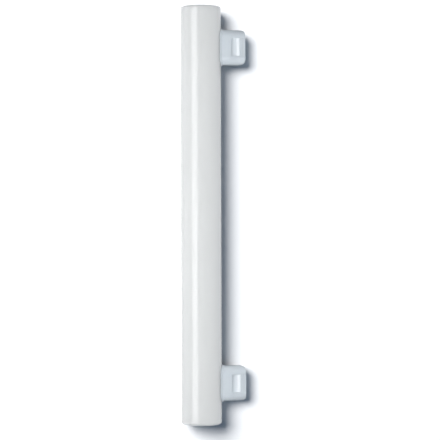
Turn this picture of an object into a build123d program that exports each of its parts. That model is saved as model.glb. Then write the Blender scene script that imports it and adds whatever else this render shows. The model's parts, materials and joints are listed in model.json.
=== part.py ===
"""Linear lamp: a sealed opal tube with one single-contact side cap near each end.

The lamp is modelled straight, with the tube along Y and the caps pointing along +X, and is then
laid down as it comes to rest: rolled about the tube until the caps' end edges meet the surface at
z = 0 that the tube lies on. Lengths are in millimetres and angles in degrees.
"""

import math
import os

from build123d import *

# Tube: a sealed shell, closed at both ends by flat discs with a rounded rim
TUBE_LENGTH = 300.0
TUBE_DIAMETER = 29.0
TUBE_WALL = 1.0
TUBE_RIM_RADIUS = 1.8

# Cap body: an oblong moulded plug that widens towards the tube, measured at its end before rounding
CAP_FROM_TUBE_END = 29.0
CAP_LENGTH = 24.8
CAP_WIDTH = 14.0
CAP_HEIGHT = 17.0
CAP_DRAFT = 1.2
CAP_CORNER_RADIUS = 5.0
CAP_SHOULDER_RADIUS = 3.0
SHOULDER_PROUD = 0.02
CAP_END_CHAMFER = 0.6

# Foot of the cap: a thin lip that hugs the tube, with a sloping top that runs into the cap's walls
SEAT_GAP = 0.05
FOOT_LIP = 0.9
FOOT_THICKNESS = 0.6
FOOT_RIM = 0.1

# Notch in each broad side that the holder's spring snaps into, and the ramp that leads it in
NOTCH_LENGTH = 12.8
NOTCH_RUN = 6.4
NOTCH_DEPTH = 1.9
NOTCH_SCOOP_RADIUS = 5.6
NOTCH_FROM_END = 4.2
NOTCH_CORNER_RADIUS = 0.9
RAMP_FROM_NOTCH = 0.3
RAMP_DROP = 0.8

# Hollow of the cap, open towards the tube
CAP_END_WALL = 2.2
WALL_BEHIND_NOTCH = 1.6
POCKET_CORNER_RADIUS = 1.5

# Contact well in the end face, and the riveted contact that lies in it
WELL_LENGTH = 11.0
WELL_WIDTH = 3.8
WELL_DEPTH = 2.4
WELL_CORNER_RADIUS = 0.8
WELL_EDGE = 0.3
WELL_FLOOR = 1.4
CONTACT_THICKNESS = 0.8
CONTACT_CLEARANCE = 0.15
CONTACT_EDGE = 0.2
RIVET_DIAMETER = 2.2
RIVET_CLEARANCE = 0.1
RIVET_HEAD_DIAMETER = 3.8
RIVET_HEAD_HEIGHT = 0.8

# Lead wire from the tube's wall to the rivet
LEAD_WIRE_DIAMETER = 0.8

# Places that follow from the sizes above: along the tube from its middle, else from its axis
TUBE_RADIUS = TUBE_DIAMETER / 2
CAP_MIDDLE = TUBE_LENGTH / 2 - CAP_FROM_TUBE_END
SEAT_RADIUS = TUBE_RADIUS + SEAT_GAP
CAP_TIP = TUBE_RADIUS + CAP_HEIGHT
NOTCH_OUTER = CAP_TIP - NOTCH_FROM_END
NOTCH_INNER = NOTCH_OUTER - NOTCH_RUN
RAMP_TOP = NOTCH_OUTER + RAMP_FROM_NOTCH
WELL_BOTTOM = CAP_TIP - WELL_DEPTH
POCKET_TOP = WELL_BOTTOM - WELL_FLOOR
RIVET_END = POCKET_TOP - RIVET_HEAD_HEIGHT


def draft_growth(depth):
    """How much a drafted wall has moved outwards at the given depth below the end face."""
    return depth * math.tan(math.radians(CAP_DRAFT))


def side_at(x):
    """Half the cap's width at the distance x from the tube's axis."""
    return CAP_WIDTH / 2 + draft_growth(CAP_TIP - x)


def facing_tube(x):
    """Plane across the cap at x, with its normal pointing at the tube."""
    return Plane(origin=(x, 0, 0), x_dir=(0, 1, 0), z_dir=(-1, 0, 0))


def about_tube(radius, length=TUBE_LENGTH):
    """Cylinder about the tube's axis, centred on the tube's middle."""
    return Rot(90, 0, 0) * Cylinder(radius, length)


def oblong(x, length, width, corner, depth, taper=0.0):
    """Rounded oblong block that starts at x and runs depth towards the tube."""
    return extrude(facing_tube(x) * RectangleRounded(length, width, corner), depth, taper=taper)


def disc(x, diameter, depth):
    """Round block that starts at x and runs depth towards the tube."""
    return extrude(facing_tube(x) * Circle(diameter / 2), depth)


def as_long_as_notch(outline):
    """Block with an outline across the tube, carried along the tube over the notch's length."""
    return extrude(Plane.XZ * make_face(outline), NOTCH_LENGTH / 2, both=True)


def opal_tube():
    """The sealed bulb: one closed shell of even wall."""
    tube = about_tube(TUBE_RADIUS)
    tube = fillet(tube.edges().filter_by(GeomType.CIRCLE), TUBE_RIM_RADIUS)
    return tube - about_tube(TUBE_RADIUS - TUBE_WALL, TUBE_LENGTH - 2 * TUBE_WALL)


def cap_plug(margin):
    """The cap's drafted block, larger all round by the margin."""
    return oblong(
        CAP_TIP,
        CAP_LENGTH + 2 * margin,
        CAP_WIDTH + 2 * margin,
        CAP_CORNER_RADIUS + margin,
        CAP_TIP,
        -CAP_DRAFT,
    )


def shoulder():
    """Cutter that rounds the cap off between its end face and one narrow side.

    Its circle stands slightly proud of both faces, so that it crosses them instead of touching them.
    """
    radius = CAP_SHOULDER_RADIUS
    x = CAP_TIP + SHOULDER_PROUD - radius
    y = CAP_LENGTH / 2 + draft_growth(radius) + SHOULDER_PROUD - radius / math.cos(math.radians(CAP_DRAFT))
    corner = Rectangle(2 * radius, 2 * radius, align=(Align.MIN, Align.MIN)) - Circle(radius)
    return extrude(Pos(x, y) * corner, CAP_WIDTH, both=True)


def cap_outside():
    """The cap before it is hollowed: plug and sloping lip, seated on the tube."""
    plug = cap_plug(0.0)
    plug = chamfer(plug.faces().sort_by(Axis.X)[-1].edges(), CAP_END_CHAMFER)
    plug -= [shoulder(), mirror(shoulder(), Plane.XZ)]
    lip = cap_plug(FOOT_LIP) & about_tube(SEAT_RADIUS + FOOT_THICKNESS)
    outside = plug + lip - about_tube(SEAT_RADIUS)
    # The lip's top is the only face with an opening, where the plug stands on it
    lip_top = outside.faces().filter_by(lambda face: len(face.inner_wires()) == 1)[0]
    return outside.chamfer(FOOT_LIP - FOOT_RIM, None, lip_top.inner_wires()[0].edges())


def notch():
    """Cutter for the notch: upright wall towards the tube, flat floor, and a scoop up to the ridge."""
    floor = CAP_WIDTH / 2 - NOTCH_DEPTH
    clear = floor + NOTCH_SCOOP_RADIUS
    turn = math.acos(1 - (side_at(NOTCH_OUTER) - floor) / NOTCH_SCOOP_RADIUS)
    scoop_from = NOTCH_OUTER - NOTCH_SCOOP_RADIUS * math.sin(turn)
    scoop = CenterArc((scoop_from, clear), NOTCH_SCOOP_RADIUS, -90, 90)
    wall_and_floor = Polyline(scoop @ 1, (NOTCH_INNER, clear), (NOTCH_INNER, floor), scoop @ 0)
    cutter = as_long_as_notch([scoop, wall_and_floor])
    return fillet(cutter.edges().filter_by(Axis.Z), NOTCH_CORNER_RADIUS)


def lead_in_ramp():
    """Cutter for the ramp from the notch's ridge down to the end face, carried on past both."""
    run = CAP_TIP - RAMP_TOP
    fall = side_at(RAMP_TOP) - (CAP_WIDTH / 2 - RAMP_DROP)
    clear = CAP_WIDTH
    before = (RAMP_TOP - run, side_at(RAMP_TOP) + fall)
    after = (CAP_TIP + run, CAP_WIDTH / 2 - RAMP_DROP - fall)
    outline = Polyline(before, after, (after[0], clear), (before[0], clear), close=True)
    return as_long_as_notch(outline)


def cap():
    """Moulded cap: hollow towards the tube, notched on both broad sides, with a well in its end."""
    shell = cap_outside()
    for cutter in (notch(), lead_in_ramp()):
        shell -= cutter
        shell -= mirror(cutter, Plane.XY)
    shell -= oblong(
        POCKET_TOP,
        CAP_LENGTH - 2 * CAP_END_WALL,
        CAP_WIDTH - 2 * (NOTCH_DEPTH + WALL_BEHIND_NOTCH),
        POCKET_CORNER_RADIUS,
        POCKET_TOP,
    )
    shell -= oblong(CAP_TIP, WELL_LENGTH, WELL_WIDTH, WELL_CORNER_RADIUS, WELL_DEPTH)
    shell -= disc(WELL_BOTTOM, RIVET_DIAMETER + 2 * RIVET_CLEARANCE, WELL_FLOOR)
    end_face = shell.faces().sort_by(Axis.X)[-1]
    return chamfer(end_face.inner_wires()[0].edges(), WELL_EDGE)


def contact():
    """Contact plate on the well's floor, with its rivet clinched inside the cap."""
    plate = oblong(
        WELL_BOTTOM + CONTACT_THICKNESS,
        WELL_LENGTH - 2 * CONTACT_CLEARANCE,
        WELL_WIDTH - 2 * CONTACT_CLEARANCE,
        WELL_CORNER_RADIUS - CONTACT_CLEARANCE,
        CONTACT_THICKNESS,
    )
    plate = chamfer(plate.faces().sort_by(Axis.X)[-1].edges(), CONTACT_EDGE)
    shank = disc(WELL_BOTTOM, RIVET_DIAMETER, WELL_FLOOR)
    head = disc(POCKET_TOP, RIVET_HEAD_DIAMETER, RIVET_HEAD_HEIGHT)
    return plate + shank + head


def lead_wire():
    """Straight wire from the tube's wall to the rivet's clinched end."""
    return disc(RIVET_END, LEAD_WIRE_DIAMETER, RIVET_END) - about_tube(TUBE_RADIUS)


def rest_place():
    """Roll and shift from the straight frame to the lamp at rest.

    Each cap touches the surface with the edge between its broad side and the chamfer round its end.
    That edge lies out_x along the cap and out_z across it, and has to come down as far below the
    tube's axis as the tube's own side does. The lamp's middle across, from the tube to the far edge
    of the caps' upper chamfers, goes to x = 0.
    """
    out_x = CAP_TIP - CAP_END_CHAMFER * math.cos(math.radians(CAP_DRAFT))
    out_z = side_at(out_x)
    roll = math.asin(TUBE_RADIUS / math.hypot(out_x, out_z)) - math.atan2(out_z, out_x)
    reach = CAP_TIP * math.cos(roll) + (CAP_WIDTH / 2 - CAP_END_CHAMFER) * math.sin(roll)
    return Pos((TUBE_RADIUS - reach) / 2, 0, TUBE_RADIUS) * Rot(0, math.degrees(roll), 0)


def main():
    pieces = {"opal_tube": opal_tube()}
    side_pieces = {"cap": cap(), "contact": contact(), "lead_wire": lead_wire()}
    for end, side in (("upper", 1), ("lower", -1)):
        for name, piece in side_pieces.items():
            pieces[f"{end}_{name}"] = Pos(0, side * CAP_MIDDLE, 0) * piece
    place = rest_place()
    os.makedirs("parts", exist_ok=True)
    for name, piece in pieces.items():
        export_step(place * piece, f"parts/{name}.step")


main()
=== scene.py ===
"""Dresses and lights an opal tube lamp with two side caps, seen from straight above.

The tube is made again as a fine surface of revolution. The caps, contacts and lead wires keep their
solids and get their own finishes. Lengths are in metres and angles in radians.
"""

import json
import math
from typing import NamedTuple

import bpy
import numpy as np
from bpy.props import FloatProperty, FloatVectorProperty, PointerProperty
from bpy.types import Operator, Panel, PropertyGroup
from mathutils import Matrix, Vector


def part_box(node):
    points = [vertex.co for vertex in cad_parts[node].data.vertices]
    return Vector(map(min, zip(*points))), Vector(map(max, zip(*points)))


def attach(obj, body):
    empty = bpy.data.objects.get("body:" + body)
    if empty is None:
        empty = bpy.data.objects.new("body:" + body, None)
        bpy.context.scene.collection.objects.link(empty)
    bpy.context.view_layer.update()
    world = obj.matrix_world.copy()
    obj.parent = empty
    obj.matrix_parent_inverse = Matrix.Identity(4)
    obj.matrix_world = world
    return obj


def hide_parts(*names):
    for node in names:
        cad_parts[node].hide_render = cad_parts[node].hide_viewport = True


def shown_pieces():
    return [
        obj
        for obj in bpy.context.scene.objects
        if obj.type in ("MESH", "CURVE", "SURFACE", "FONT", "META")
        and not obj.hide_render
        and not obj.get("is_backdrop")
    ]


bl_info = {
    "name": "Opal Tube Lamp",
    "version": (1, 0, 0),
    "blender": (4, 5, 0),
    "location": "3D View > Sidebar > Tube Lamp",
    "description": "Makes the finishes, the fine tube and the studio of an opal tube lamp",
    "category": "Add Mesh",
}

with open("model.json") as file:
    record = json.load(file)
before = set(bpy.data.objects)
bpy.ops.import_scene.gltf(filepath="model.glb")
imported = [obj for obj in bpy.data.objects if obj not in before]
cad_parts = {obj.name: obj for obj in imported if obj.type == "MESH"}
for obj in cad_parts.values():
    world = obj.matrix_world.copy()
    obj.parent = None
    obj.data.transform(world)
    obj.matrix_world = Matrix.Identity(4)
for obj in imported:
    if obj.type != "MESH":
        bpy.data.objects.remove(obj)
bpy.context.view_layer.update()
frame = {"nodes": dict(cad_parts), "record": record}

# The tube's place, and the end of the upper cap with the way it points; the lower cap mirrors it along Y
TUBE_LOW, TUBE_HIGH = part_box("opal_tube")
TUBE_MIDDLE = (TUBE_LOW + TUBE_HIGH) / 2
TUBE_AXIS = Vector((0.0, 1.0, 0.0))
MOUNTS = {mount["name"]: mount for mount in frame["record"]["mounts"]}
CAP_END = Vector(MOUNTS["upper_cap_plug"]["pos_m"])
CAP_AXIS = Vector(MOUNTS["upper_cap_plug"]["axis"])


class TubeSettings(PropertyGroup):
    """Sizes and finish of the opal tube."""

    length: FloatProperty(
        name="Length",
        description="Tube from end to end",
        default=TUBE_HIGH.y - TUBE_LOW.y,
        unit="LENGTH",
    )
    radius: FloatProperty(
        name="Radius",
        description="Outside of the tube from its axis",
        default=(TUBE_HIGH.z - TUBE_LOW.z) / 2,
        unit="LENGTH",
    )
    rim_radius: FloatProperty(
        name="Rim Radius",
        description="Rounding between the tube's side and its end discs",
        default=0.0018,
        unit="LENGTH",
    )
    colour: FloatVectorProperty(
        name="Colour",
        description="Milky body of the tube",
        default=(0.728, 0.735, 0.722),
        min=0.0,
        max=1.0,
        size=3,
        subtype="COLOR",
    )
    scatter: FloatProperty(
        name="Scatter Distance",
        description="How far light wanders in the milky wall before it leaves",
        default=0.008,
        unit="LENGTH",
    )
    roughness: FloatProperty(
        name="Roughness",
        description="Average roughness of the surface",
        default=0.055,
        min=0.0,
        max=1.0,
        subtype="FACTOR",
    )
    clouding: FloatProperty(
        name="Clouding",
        description="How much darker and lighter the milkiness gets",
        default=0.02,
        min=0.0,
        max=1.0,
        subtype="FACTOR",
    )


class CapSettings(PropertyGroup):
    """Finish of the moulded caps."""

    colour: FloatVectorProperty(
        name="Colour",
        description="Moulded plastic",
        default=(0.635, 0.686, 0.718),
        min=0.0,
        max=1.0,
        size=3,
        subtype="COLOR",
    )
    roughness: FloatProperty(
        name="Roughness",
        description="Average roughness of the moulded surface",
        default=0.42,
        min=0.0,
        max=1.0,
        subtype="FACTOR",
    )
    edge_radius: FloatProperty(
        name="Edge Radius",
        description="Softness of the moulded edges",
        default=0.0003,
        unit="LENGTH",
    )
    scoop_from_end: FloatProperty(
        name="Scoop From End",
        description="From the cap's end to the ridge where the notch's scoop begins",
        default=0.0042,
        unit="LENGTH",
    )
    scoop_run: FloatProperty(
        name="Scoop Run",
        description="Polished stretch of the notch, from its ridge towards the tube",
        default=0.0055,
        unit="LENGTH",
    )
    scoop_length: FloatProperty(
        name="Scoop Length",
        description="Notch along the tube",
        default=0.0128,
        unit="LENGTH",
    )


class MetalSettings(PropertyGroup):
    """Finishes of the contacts and the lead wires."""

    contact_colour: FloatVectorProperty(
        name="Contact Colour",
        description="Plated contact",
        default=(0.72, 0.69, 0.62),
        min=0.0,
        max=1.0,
        size=3,
        subtype="COLOR",
    )
    contact_roughness: FloatProperty(
        name="Contact Roughness",
        description="Average roughness of the contact",
        default=0.32,
        min=0.0,
        max=1.0,
        subtype="FACTOR",
    )
    lead_colour: FloatVectorProperty(
        name="Lead Colour",
        description="Tinned lead wire",
        default=(0.66, 0.66, 0.65),
        min=0.0,
        max=1.0,
        size=3,
        subtype="COLOR",
    )
    lead_roughness: FloatProperty(
        name="Lead Roughness",
        description="Average roughness of the lead wire",
        default=0.4,
        min=0.0,
        max=1.0,
        subtype="FACTOR",
    )


class StageSettings(PropertyGroup):
    """Floor, lights and camera."""

    floor_colour: FloatVectorProperty(
        name="Floor Colour",
        description="Pale floor",
        default=(0.98, 0.98, 0.98),
        min=0.0,
        max=1.0,
        size=3,
        subtype="COLOR",
    )
    bounce_colour: FloatVectorProperty(
        name="Bounce Colour",
        description="What the floor throws back at the lamp",
        default=(0.35, 0.35, 0.35),
        min=0.0,
        max=1.0,
        size=3,
        subtype="COLOR",
    )
    ambient: FloatVectorProperty(
        name="Ambient",
        description="Weak light from all round",
        default=(0.03, 0.045, 0.075),
        min=0.0,
        max=1.0,
        size=3,
        subtype="COLOR",
    )
    wash_power: FloatProperty(
        name="Wash Power",
        description="Power of the high softbox that lights the floor and casts the shadow",
        default=508.0,
        unit="POWER",
    )
    key_power: FloatProperty(
        name="Key Power",
        description="Power of the high softbox that lights the lamp",
        default=3.25,
        unit="POWER",
    )
    shadow_power: FloatProperty(
        name="Shadow Power",
        description="Power of the cool fill in the floor's shadow",
        default=6.0,
        unit="POWER",
    )
    shadow_tint: FloatVectorProperty(
        name="Shadow Tint",
        description="Colour of the cool fill in the floor's shadow",
        default=(0.3, 0.65, 1.0),
        min=0.0,
        max=1.0,
        size=3,
        subtype="COLOR",
    )
    fill_power: FloatProperty(
        name="Fill Power",
        description="Power of the low fill on the left, which the other low fills follow",
        default=1.7,
        unit="POWER",
    )
    strip_power: FloatProperty(
        name="Strip Power",
        description="Power of the light that the tube mirrors as a strip",
        default=7.5,
        unit="POWER",
    )
    camera_distance: FloatProperty(
        name="Camera Distance",
        description="Camera above the tube's axis",
        default=1.25,
        unit="LENGTH",
    )
    frame_width: FloatProperty(
        name="Frame Width",
        description="Width of the picture at the height of the tube's axis",
        default=0.3165,
        unit="LENGTH",
    )
    aim: FloatVectorProperty(
        name="Aim",
        description="Middle of the picture, from the tube's middle",
        default=(0.01352, -0.00337),
        size=2,
        unit="LENGTH",
        subtype="XYZ",
    )
    lean: FloatProperty(
        name="Lean",
        description="How far the tube leans to the left in the picture",
        default=math.radians(0.154),
        unit="ROTATION",
    )


class LampSettings(PropertyGroup):
    """All settings of the lamp."""

    tube: PointerProperty(type=TubeSettings)
    caps: PointerProperty(type=CapSettings)
    metal: PointerProperty(type=MetalSettings)
    stage: PointerProperty(type=StageSettings)


class Shade:
    """A node's output. Arithmetic and comparisons on it add Math nodes, and node() adds any kind."""

    def __init__(self, tree, socket=None):
        self.tree = tree
        self.socket = socket

    def node(self, kind, sockets, output=0, **settings):
        """Add a node: first its settings, then its values and links."""
        made = self.tree.nodes.new("ShaderNode" + kind)
        for name, value in settings.items():
            setattr(made, name, value)
        for name, value in sockets.items():
            if isinstance(value, Shade):
                self.tree.links.new(value.socket, made.inputs[name])
            else:
                made.inputs[name].default_value = value
        return Shade(self.tree, made.outputs[output] if len(made.outputs) else None)

    def math(self, operation, *values):
        """Add a Math node."""
        return self.node("Math", dict(enumerate(values)), operation=operation)

    def __add__(self, other):
        return self.math("ADD", self, other)

    def __sub__(self, other):
        return self.math("SUBTRACT", self, other)

    def __mul__(self, other):
        return self.math("MULTIPLY", self, other)

    def __rsub__(self, other):
        return self.math("SUBTRACT", other, self)

    def __lt__(self, other):
        return self.math("LESS_THAN", self, other)

    def __gt__(self, other):
        return self.math("GREATER_THAN", self, other)

    def __abs__(self):
        return self.math("ABSOLUTE", self)

    __radd__ = __add__
    __rmul__ = __mul__


def opaque(colour, gain=1.0):
    """A colour with full alpha, brightened or darkened by the gain."""
    return (*(min(1.0, channel * gain) for channel in colour), 1.0)


def new_finish(name):
    """A material with an empty node tree, and the shade that fills it."""
    material = bpy.data.materials.new(name)
    material.use_nodes = True
    material.node_tree.nodes.clear()
    return material, Shade(material.node_tree)


def noise(shade, per_metre, detail):
    """Smooth noise of 0 to 1 on Object coordinates, with so many features per metre along each axis."""
    place = shade.node("TexCoord", {}, output="Object")
    scaled = shade.node("Mapping", {"Vector": place, "Scale": per_metre})
    return shade.node("TexNoise", {"Vector": scaled, "Scale": 1.0, "Detail": detail})


def along_axis(shade, axis):
    """How far a point lies along an axis from the origin."""
    place = shade.node("TexCoord", {}, output="Object")
    return shade.node("VectorMath", {0: place, 1: axis}, output="Value", operation="DOT_PRODUCT")


def weighed(first, second, share):
    """Mean of two noises, with the given share of the first."""
    return first * share + second * (1 - share)


def varied(pattern, middle, spread):
    """Value that follows a noise, and strays from its middle by up to half the spread."""
    return pattern * spread + (middle - spread / 2)


def blend_colours(shade, factor, low, high):
    """Colour that goes from low to high with the factor.

    The Mix node's sockets go by number, because those for colours share their names with others.
    """
    return shade.node("Mix", {0: factor, 6: low, 7: high}, output=2, data_type="RGBA")


def toned(shade, pattern, colour, spread):
    """Colour that follows a noise, and gets darker and lighter by up to the spread."""
    return blend_colours(shade, pattern, opaque(colour, 1 - spread), opaque(colour, 1 + spread))


def mix_shaders(shade, factor, low, high):
    """Surface that goes from low to high with the factor."""
    return shade.node("MixShader", {0: factor, 1: low, 2: high})


def put_on(material, *names):
    """Give the material to the named solids of the frame."""
    for name in names:
        frame["nodes"][name].material_slots[0].material = material


def opal_finish(tube):
    """Milky, smoothly drawn surface: faint clouds and smears, and faint streaks along the tube."""
    material, shade = new_finish("opal_glass")
    clouds = noise(shade, per_metre=(45.0, 22.0, 45.0), detail=3.0)
    streaks = noise(shade, per_metre=(420.0, 3.0, 420.0), detail=2.0)
    smears = noise(shade, per_metre=(90.0, 40.0, 90.0), detail=4.0)
    density = weighed(clouds, streaks, share=0.7)
    relief = weighed(streaks, clouds, share=0.6)
    surface = shade.node(
        "BsdfPrincipled",
        {
            "Base Color": toned(shade, density, tube.colour, tube.clouding),
            "Roughness": varied(smears, tube.roughness, spread=0.06),
            "IOR": 1.44,
            "Normal": shade.node("Bump", {"Height": relief, "Strength": 1.0, "Distance": 0.00004}),
            "Subsurface Weight": 1.0,
            "Subsurface Radius": (1.0, 1.0, 1.0),
            "Subsurface Scale": tube.scatter,
        },
    )
    shade.node("OutputMaterial", {"Surface": surface})
    return material


def scoop_mask(shade, caps):
    """1 in the notches' scoops of both caps, else 0.

    A point counts by its distance from the cap's end along the cap, and from the cap's middle along
    the tube.
    """
    from_end = CAP_END.dot(CAP_AXIS) - along_axis(shade, CAP_AXIS)
    from_middle = abs(abs(along_axis(shade, TUBE_AXIS)) - CAP_END.y)
    in_run = (from_end > caps.scoop_from_end) * (from_end < caps.scoop_from_end + caps.scoop_run)
    return in_run * (from_middle < caps.scoop_length / 2)


def cap_finish(caps):
    """Satin moulded plastic: fine grain, softened edges, slight mottling and polished scoops."""
    material, shade = new_finish("cap_plastic")
    mottle = noise(shade, per_metre=(160.0, 160.0, 160.0), detail=3.0)
    grain = noise(shade, per_metre=(5200.0, 5200.0, 5200.0), detail=2.0)
    edges = shade.node("Bevel", {"Radius": caps.edge_radius}, samples=6)
    bump = shade.node("Bump", {"Height": grain, "Strength": 0.5, "Distance": 0.000005, "Normal": edges})
    surface = shade.node(
        "BsdfPrincipled",
        {
            "Base Color": toned(shade, mottle, caps.colour, spread=0.03),
            "Roughness": varied(mottle, caps.roughness, spread=0.1),
            "IOR": 1.5,
            "Coat Weight": scoop_mask(shade, caps) * varied(mottle, middle=0.9, spread=0.2),
            "Coat Roughness": 0.38,
            "Coat IOR": 2.2,
            "Normal": bump,
            "Subsurface Weight": 0.3,
            "Subsurface Radius": (1.0, 1.0, 1.0),
            "Subsurface Scale": 0.001,
        },
    )
    shade.node("OutputMaterial", {"Surface": surface})
    return material


def metal_finish(name, colour, roughness, marks_per_metre):
    """Plated metal with fine rolling marks that run along one axis, and a few dull patches."""
    material, shade = new_finish(name)
    marks = noise(shade, marks_per_metre, detail=3.0)
    dull = noise(shade, per_metre=(500.0, 500.0, 500.0), detail=3.0)
    surface = shade.node(
        "BsdfPrincipled",
        {
            "Base Color": blend_colours(shade, dull, opaque(colour, gain=0.85), opaque(colour, gain=1.1)),
            "Metallic": 1.0,
            "Roughness": varied(dull, roughness, spread=0.2) + varied(marks, middle=0.0, spread=0.1),
            "Normal": shade.node("Bump", {"Height": marks, "Strength": 0.4, "Distance": 0.00001}),
        },
    )
    shade.node("OutputMaterial", {"Surface": surface})
    return material


def tube_profile(tube, rim_steps=16, disc_steps=6, side_steps=80):
    """Half the tube's outline as (radius, height) pairs, from the lower pole to the upper one.

    Each end is a flat disc, and a quarter circle of the rim's radius joins it to the side.
    """
    half = tube.length / 2
    turn = np.linspace(0, math.pi / 2, rim_steps)
    rim = np.stack(
        [
            tube.radius - tube.rim_radius * (1 - np.sin(turn)),
            tube.rim_radius * (1 - np.cos(turn)) - half,
        ],
        axis=1,
    )
    reach = np.linspace(0, tube.radius - tube.rim_radius, disc_steps, endpoint=False)
    disc = np.stack([reach, np.full(disc_steps, -half)], axis=1)
    lower = np.concatenate([disc, rim])
    side = np.linspace(lower[-1, 1], -lower[-1, 1], side_steps)[1:-1]
    middle = np.stack([np.full(len(side), tube.radius), side], axis=1)
    upper = lower[::-1] * (1, -1)
    return np.concatenate([lower, middle, upper])


def turned(profile, middle, steps=192):
    """Points and faces of a profile turned once about the line along Y through the middle.

    At the turn t a point lies at radius * (cos t, sin t) across the line and at its height along
    it. The first and last profile points are poles, and close the surface with triangles.
    """
    turn = np.linspace(0, 2 * math.pi, steps, endpoint=False)
    radius, height = profile[1:-1, :, None].transpose(1, 0, 2)
    across = middle.x + radius * np.cos(turn)
    along = np.broadcast_to(middle.y + height, across.shape)
    up = middle.z + radius * np.sin(turn)
    rings = np.stack([across, along, up], axis=-1).reshape(-1, 3)
    poles = np.array([(middle.x, middle.y + profile[end, 1], middle.z) for end in (0, -1)])
    index = np.arange(len(rings)).reshape(-1, steps)
    ahead = np.roll(index, -1, axis=1)
    quads = np.stack([index[:-1], index[1:], ahead[1:], ahead[:-1]], axis=-1).reshape(-1, 4)
    lower = np.stack([np.full(steps, len(rings)), index[0], ahead[0]], axis=-1)
    upper = np.stack([np.full(steps, len(rings) + 1), ahead[-1], index[-1]], axis=-1)
    return np.concatenate([rings, poles]), [*quads.tolist(), *lower.tolist(), *upper.tolist()]


def new_piece(name, points, faces, material):
    """A smooth mesh object at the origin that rides with the lamp."""
    mesh = bpy.data.meshes.new(name)
    mesh.from_pydata(points.tolist(), [], faces)
    mesh.shade_smooth()
    mesh.materials.append(material)
    if mesh.validate():
        raise RuntimeError(f"{name} has faces that can't be used")
    piece = bpy.data.objects.new(name, mesh)
    bpy.context.scene.collection.objects.link(piece)
    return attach(piece, "root")


class TUBELAMP_OT_tube(Operator):
    """Make the fine opal tube in place of its solid"""

    bl_idname = "tube_lamp.tube"
    bl_label = "Opal Tube"

    def execute(self, context):
        tube = context.scene.tube_lamp.tube
        points, faces = turned(tube_profile(tube), TUBE_MIDDLE)
        piece = new_piece("fine_opal_tube", points, faces, opal_finish(tube))
        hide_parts("opal_tube")
        return {"FINISHED"}


class TUBELAMP_OT_caps(Operator):
    """Finish the two moulded caps"""

    bl_idname = "tube_lamp.caps"
    bl_label = "Side Caps"

    def execute(self, context):
        put_on(cap_finish(context.scene.tube_lamp.caps), "upper_cap", "lower_cap")
        return {"FINISHED"}


class TUBELAMP_OT_contacts(Operator):
    """Finish the riveted contact of each cap"""

    bl_idname = "tube_lamp.contacts"
    bl_label = "Contacts"

    def execute(self, context):
        metal = context.scene.tube_lamp.metal
        plated = metal_finish(
            "contact_metal",
            metal.contact_colour,
            metal.contact_roughness,
            marks_per_metre=(4000.0, 150.0, 4000.0),
        )
        put_on(plated, "upper_contact", "lower_contact")
        return {"FINISHED"}


class TUBELAMP_OT_leads(Operator):
    """Finish the lead wire inside each cap"""

    bl_idname = "tube_lamp.leads"
    bl_label = "Lead Wires"

    def execute(self, context):
        metal = context.scene.tube_lamp.metal
        tinned = metal_finish(
            "lead_metal",
            metal.lead_colour,
            metal.lead_roughness,
            marks_per_metre=(150.0, 4000.0, 4000.0),
        )
        put_on(tinned, "upper_lead_wire", "lower_lead_wire")
        return {"FINISHED"}


class Softbox(NamedTuple):
    """Place and size of an area light that points at the tube's middle.

    left and back are its angles from straight above, towards -X and towards +Y.
    """

    left: float
    back: float
    distance: float
    width: float
    length: float


FLOOR_WASH = Softbox(left=math.radians(26), back=math.radians(22.5), distance=6.0, width=4.0, length=3.45)
SHADOW_FILL = Softbox(left=math.radians(-45), back=math.radians(-20), distance=3.0, width=2.0, length=2.0)
KEY = Softbox(left=math.radians(19), back=0.0, distance=0.65, width=0.325, length=0.3)
LEFT_FILL = Softbox(left=math.radians(73), back=0.0, distance=0.65, width=0.26, length=0.39)
RIGHT_FILL = Softbox(left=math.radians(-64), back=0.0, distance=0.65, width=0.26, length=0.39)
FRONT_FILL = Softbox(left=0.0, back=math.radians(-84), distance=1.5, width=0.9, length=0.25)
STRIP = Softbox(left=math.radians(36.5), back=0.0, distance=1.2, width=0.757, length=0.68)

# Powers of the other low fills, as multiples of the left fill's
RIGHT_FILL_GAIN = 1.28
FRONT_FILL_GAIN = 1.2


def make_floor(stage, half=3.0):
    """A wide pale floor that the lamp lies on, clear from below."""
    corners = [(-half, -half, 0), (half, -half, 0), (half, half, 0), (-half, half, 0)]
    mesh = bpy.data.meshes.new("floor")
    mesh.from_pydata(corners, [], [(0, 1, 2, 3)])
    material, shade = new_finish("floor")
    bounced = shade.node("LightPath", {}, output="Is Diffuse Ray")
    tone = blend_colours(shade, bounced, opaque(stage.floor_colour), opaque(stage.bounce_colour))
    pale = shade.node("BsdfDiffuse", {"Color": tone})
    clear = shade.node("BsdfTransparent", {})
    below = shade.node("NewGeometry", {}, output="Backfacing")
    shade.node("OutputMaterial", {"Surface": mix_shaders(shade, below, pale, clear)})
    mesh.materials.append(material)
    floor = bpy.data.objects.new("floor", mesh)
    bpy.context.scene.collection.objects.link(floor)
    floor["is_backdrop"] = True
    return floor


def make_world(stage):
    """White where it is seen, mirrored or looked through to, and a weak ambient light elsewhere."""
    world = bpy.data.worlds.new("studio")
    world.use_nodes = True
    world.node_tree.nodes.clear()
    shade = Shade(world.node_tree)
    seen = shade.node("LightPath", {}, output="Is Camera Ray")
    mirrored = shade.node("LightPath", {}, output="Is Glossy Ray")
    looked_through = shade.node("LightPath", {}, output="Is Transmission Ray")
    ambient = shade.node("Background", {"Color": opaque(stage.ambient)})
    white = shade.node("Background", {"Color": (1.0, 1.0, 1.0, 1.0)})
    surface = mix_shaders(shade, seen + mirrored + looked_through, ambient, white)
    shade.node("OutputWorld", {"Surface": surface})
    bpy.context.scene.world = world


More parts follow.
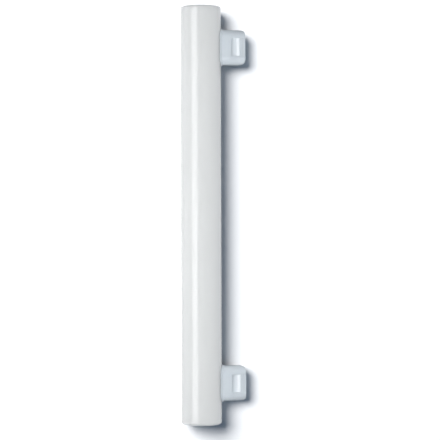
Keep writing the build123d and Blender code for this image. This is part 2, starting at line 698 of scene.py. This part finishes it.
def add_softbox(name, box, power):
    """Rectangular area light at the softbox's place, with its width square to the tube."""
    light = bpy.data.lights.new(name, "AREA")
    light.shape = "RECTANGLE"
    light.size = box.width
    light.size_y = box.length
    light.energy = power
    away = Vector((-math.tan(box.left), math.tan(box.back), 1)).normalized()
    across = TUBE_AXIS.cross(away).normalized()
    turn = Matrix((across, away.cross(across), away)).transposed()
    placed = bpy.data.objects.new(name, light)
    placed.matrix_world = Matrix.Translation(TUBE_MIDDLE + away * box.distance) @ turn.to_4x4()
    placed.visible_camera = False
    bpy.context.scene.collection.objects.link(placed)
    return placed


def light_only(lights, name, objects):
    """Limit the lights to the given objects, which a new collection gathers."""
    receivers = bpy.data.collections.new(name)
    for member in objects:
        receivers.objects.link(member)
    for light in lights:
        light.light_linking.receiver_collection = receivers


def make_lights(stage, floor):
    """Softboxes for the floor's shadow and for the lamp's shading, and a strip that only gloss shows."""
    wash = add_softbox("floor_wash", FLOOR_WASH, stage.wash_power)
    wash.data.shape = "ELLIPSE"
    cool = add_softbox("shadow_fill", SHADOW_FILL, stage.shadow_power)
    cool.data.color = stage.shadow_tint
    light_only([wash, cool], "lit_floor", [floor])
    shading = [
        add_softbox("key", KEY, stage.key_power),
        add_softbox("left_fill", LEFT_FILL, stage.fill_power),
        add_softbox("right_fill", RIGHT_FILL, stage.fill_power * RIGHT_FILL_GAIN),
        add_softbox("front_fill", FRONT_FILL, stage.fill_power * FRONT_FILL_GAIN),
    ]
    for light in shading:
        light.visible_glossy = False
    strip = add_softbox("strip", STRIP, stage.strip_power)
    strip.visible_diffuse = False
    light_only([*shading, strip], "lit_lamp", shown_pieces())


def make_camera(stage):
    """Camera straight above, with the tube's upper end at the top of the picture."""
    camera = bpy.data.cameras.new("camera")
    camera.lens = camera.sensor_width * stage.camera_distance / stage.frame_width
    eye = bpy.data.objects.new("camera", camera)
    place = TUBE_MIDDLE + Vector((*stage.aim, stage.camera_distance))
    eye.matrix_world = Matrix.Translation(place) @ Matrix.Rotation(-stage.lean, 4, "Z")
    bpy.context.scene.collection.objects.link(eye)
    bpy.context.scene.camera = eye


class TUBELAMP_OT_stage(Operator):
    """Set the floor, the world, the lights and the camera"""

    bl_idname = "tube_lamp.stage"
    bl_label = "Stage"

    def execute(self, context):
        stage = context.scene.tube_lamp.stage
        floor = make_floor(stage)
        make_world(stage)
        make_lights(stage, floor)
        make_camera(stage)
        context.scene.view_settings.view_transform = "Standard"
        return {"FINISHED"}


class TUBELAMP_PT_lamp(Panel):
    """Lists the lamp's settings and the operators that use them"""

    bl_idname = "TUBELAMP_PT_lamp"
    bl_label = "Opal Tube Lamp"
    bl_space_type = "VIEW_3D"
    bl_region_type = "UI"
    bl_category = "Tube Lamp"

    def draw(self, context):
        lamp = context.scene.tube_lamp
        groups = (
            (lamp.tube, (TUBELAMP_OT_tube,)),
            (lamp.caps, (TUBELAMP_OT_caps,)),
            (lamp.metal, (TUBELAMP_OT_contacts, TUBELAMP_OT_leads)),
            (lamp.stage, (TUBELAMP_OT_stage,)),
        )
        for settings, operators in groups:
            box = self.layout.box()
            for name in settings.__annotations__:
                box.prop(settings, name)
            for operator in operators:
                box.operator(operator.bl_idname)


CLASSES = (
    TubeSettings,
    CapSettings,
    MetalSettings,
    StageSettings,
    LampSettings,
    TUBELAMP_OT_tube,
    TUBELAMP_OT_caps,
    TUBELAMP_OT_contacts,
    TUBELAMP_OT_leads,
    TUBELAMP_OT_stage,
    TUBELAMP_PT_lamp,
)


def register():
    """Add the classes to Blender, and the lamp's settings to its scenes."""
    for cls in CLASSES:
        bpy.utils.register_class(cls)
    bpy.types.Scene.tube_lamp = PointerProperty(type=LampSettings)


def unregister():
    """Take away what register added."""
    del bpy.types.Scene.tube_lamp
    for cls in reversed(CLASSES):
        bpy.utils.unregister_class(cls)


def main():
    """Make the pieces and the stage."""
    register()
    bpy.ops.tube_lamp.tube()
    bpy.ops.tube_lamp.caps()
    bpy.ops.tube_lamp.contacts()
    bpy.ops.tube_lamp.leads()
    bpy.ops.tube_lamp.stage()


if __name__ == "__main__":
    main()
